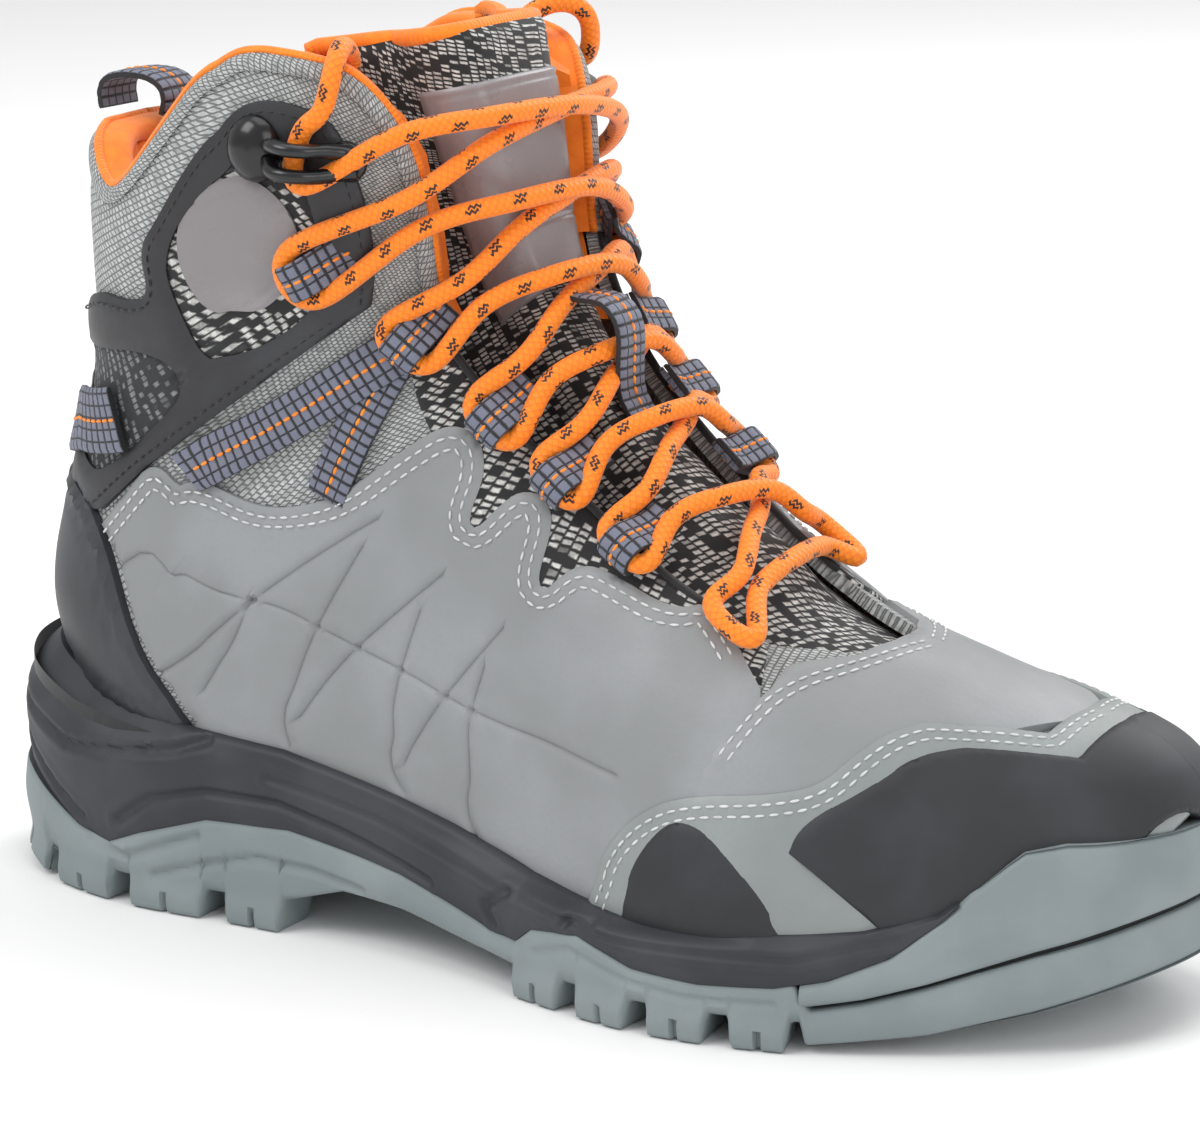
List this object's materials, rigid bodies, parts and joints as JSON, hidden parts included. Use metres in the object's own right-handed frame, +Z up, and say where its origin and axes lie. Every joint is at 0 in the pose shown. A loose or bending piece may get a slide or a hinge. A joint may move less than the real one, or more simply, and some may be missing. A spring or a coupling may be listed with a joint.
{
  "type": "hiking boot",
  "caption": "Mid-height laced hiking boot for the right foot, with a lugged outsole, leather and knit upper, webbing lace loops, speed hooks and a padded tongue.",
  "frame": {"origin": "middle of the boot's bounding box at ground level", "axes": "+X towards the toe, +Y towards the medial side of this right boot, +Z up"},
  "size_m": [0.308, 0.1107, 0.2171],
  "materials": {
    "badge": "smooth synthetic",
    "binding": "soft binding",
    "board": "plain fibre board",
    "bumper_rubber": "matt moulded rubber",
    "counter": "moulded, fine grain",
    "foam": "open foam",
    "footbed": "brushed knit",
    "hook_plastic": "satin",
    "knit": "light grey marl knit",
    "lace": "round braided cord with dark flecks",
    "leather": "smooth coated split leather",
    "lining": "ribbed mesh",
    "midsole_foam": "matt moulded foam with a fine grain",
    "outsole_rubber": "matt moulded rubber",
    "overlay": "matt synthetic",
    "steel": "brushed",
    "toe_cap": "matt moulded film",
    "tongue_knit": "black and white knit",
    "webbing": "ribbed webbing"
  },
  "bodies": {
    "boot": {"ankle_badge_lateral": "badge", "ankle_badge_medial": "badge", "ankle_overlay_lateral": "overlay", "ankle_overlay_medial": "overlay", "collar_binding": "binding", "collar_lining": "lining", "collar_padding_lateral": "foam", "collar_padding_medial": "foam", "footbed": "footbed", "heel_counter": "counter", "heel_stiffener": "board", "hook_rivet_lateral": "steel", "hook_rivet_medial": "steel", "lace": "lace", "lace_hook_lateral": "hook_plastic", "lace_hook_medial": "hook_plastic", "lace_loop_lateral_1": "webbing", "lace_loop_lateral_2": "webbing", "lace_loop_lateral_3": "webbing", "lace_loop_lateral_4": "webbing", "lace_loop_lateral_5": "webbing", "lace_loop_medial_1": "webbing", "lace_loop_medial_2": "webbing", "lace_loop_medial_3": "webbing", "lace_loop_medial_4": "webbing", "lace_loop_medial_5": "webbing", "lasting_board": "board", "midsole": "midsole_foam", "outsole": "outsole_rubber", "quarter_lateral": "leather", "quarter_medial": "leather", "rear_webbing_tab": "webbing", "shank": "steel", "toe_bumper": "bumper_rubber", "toe_cap": "toe_cap", "toe_puff": "board", "toe_window_front": "overlay", "toe_window_lateral": "overlay", "toe_window_medial": "overlay", "upper_textile": "knit", "v_strap_lateral": "webbing", "v_strap_medial": "webbing", "vamp": "leather"},
    "tongue": {"tongue": "tongue_knit", "tongue_badge": "badge", "tongue_binding": "binding", "tongue_keeper": "webbing"},
    "heel_loop": {"heel_pull_loop": "webbing"}
  },
  "joints": [
    {"name": "tongue_hinge", "type": "hinge", "parent": "boot", "child": "tongue", "pos_m": [0.063, 0.002, 0.086], "axis": [0, 1, 0], "range_deg": [-4, 0], "stiffness_Nm_per_rad": 3, "springref_deg": 1.15},
    {"name": "heel_loop_hinge", "type": "hinge", "parent": "boot", "child": "heel_loop", "pos_m": [-0.13, 0.002, 0.1845], "axis": [0, 1, 0], "range_deg": [-100, 0]}
  ]
}
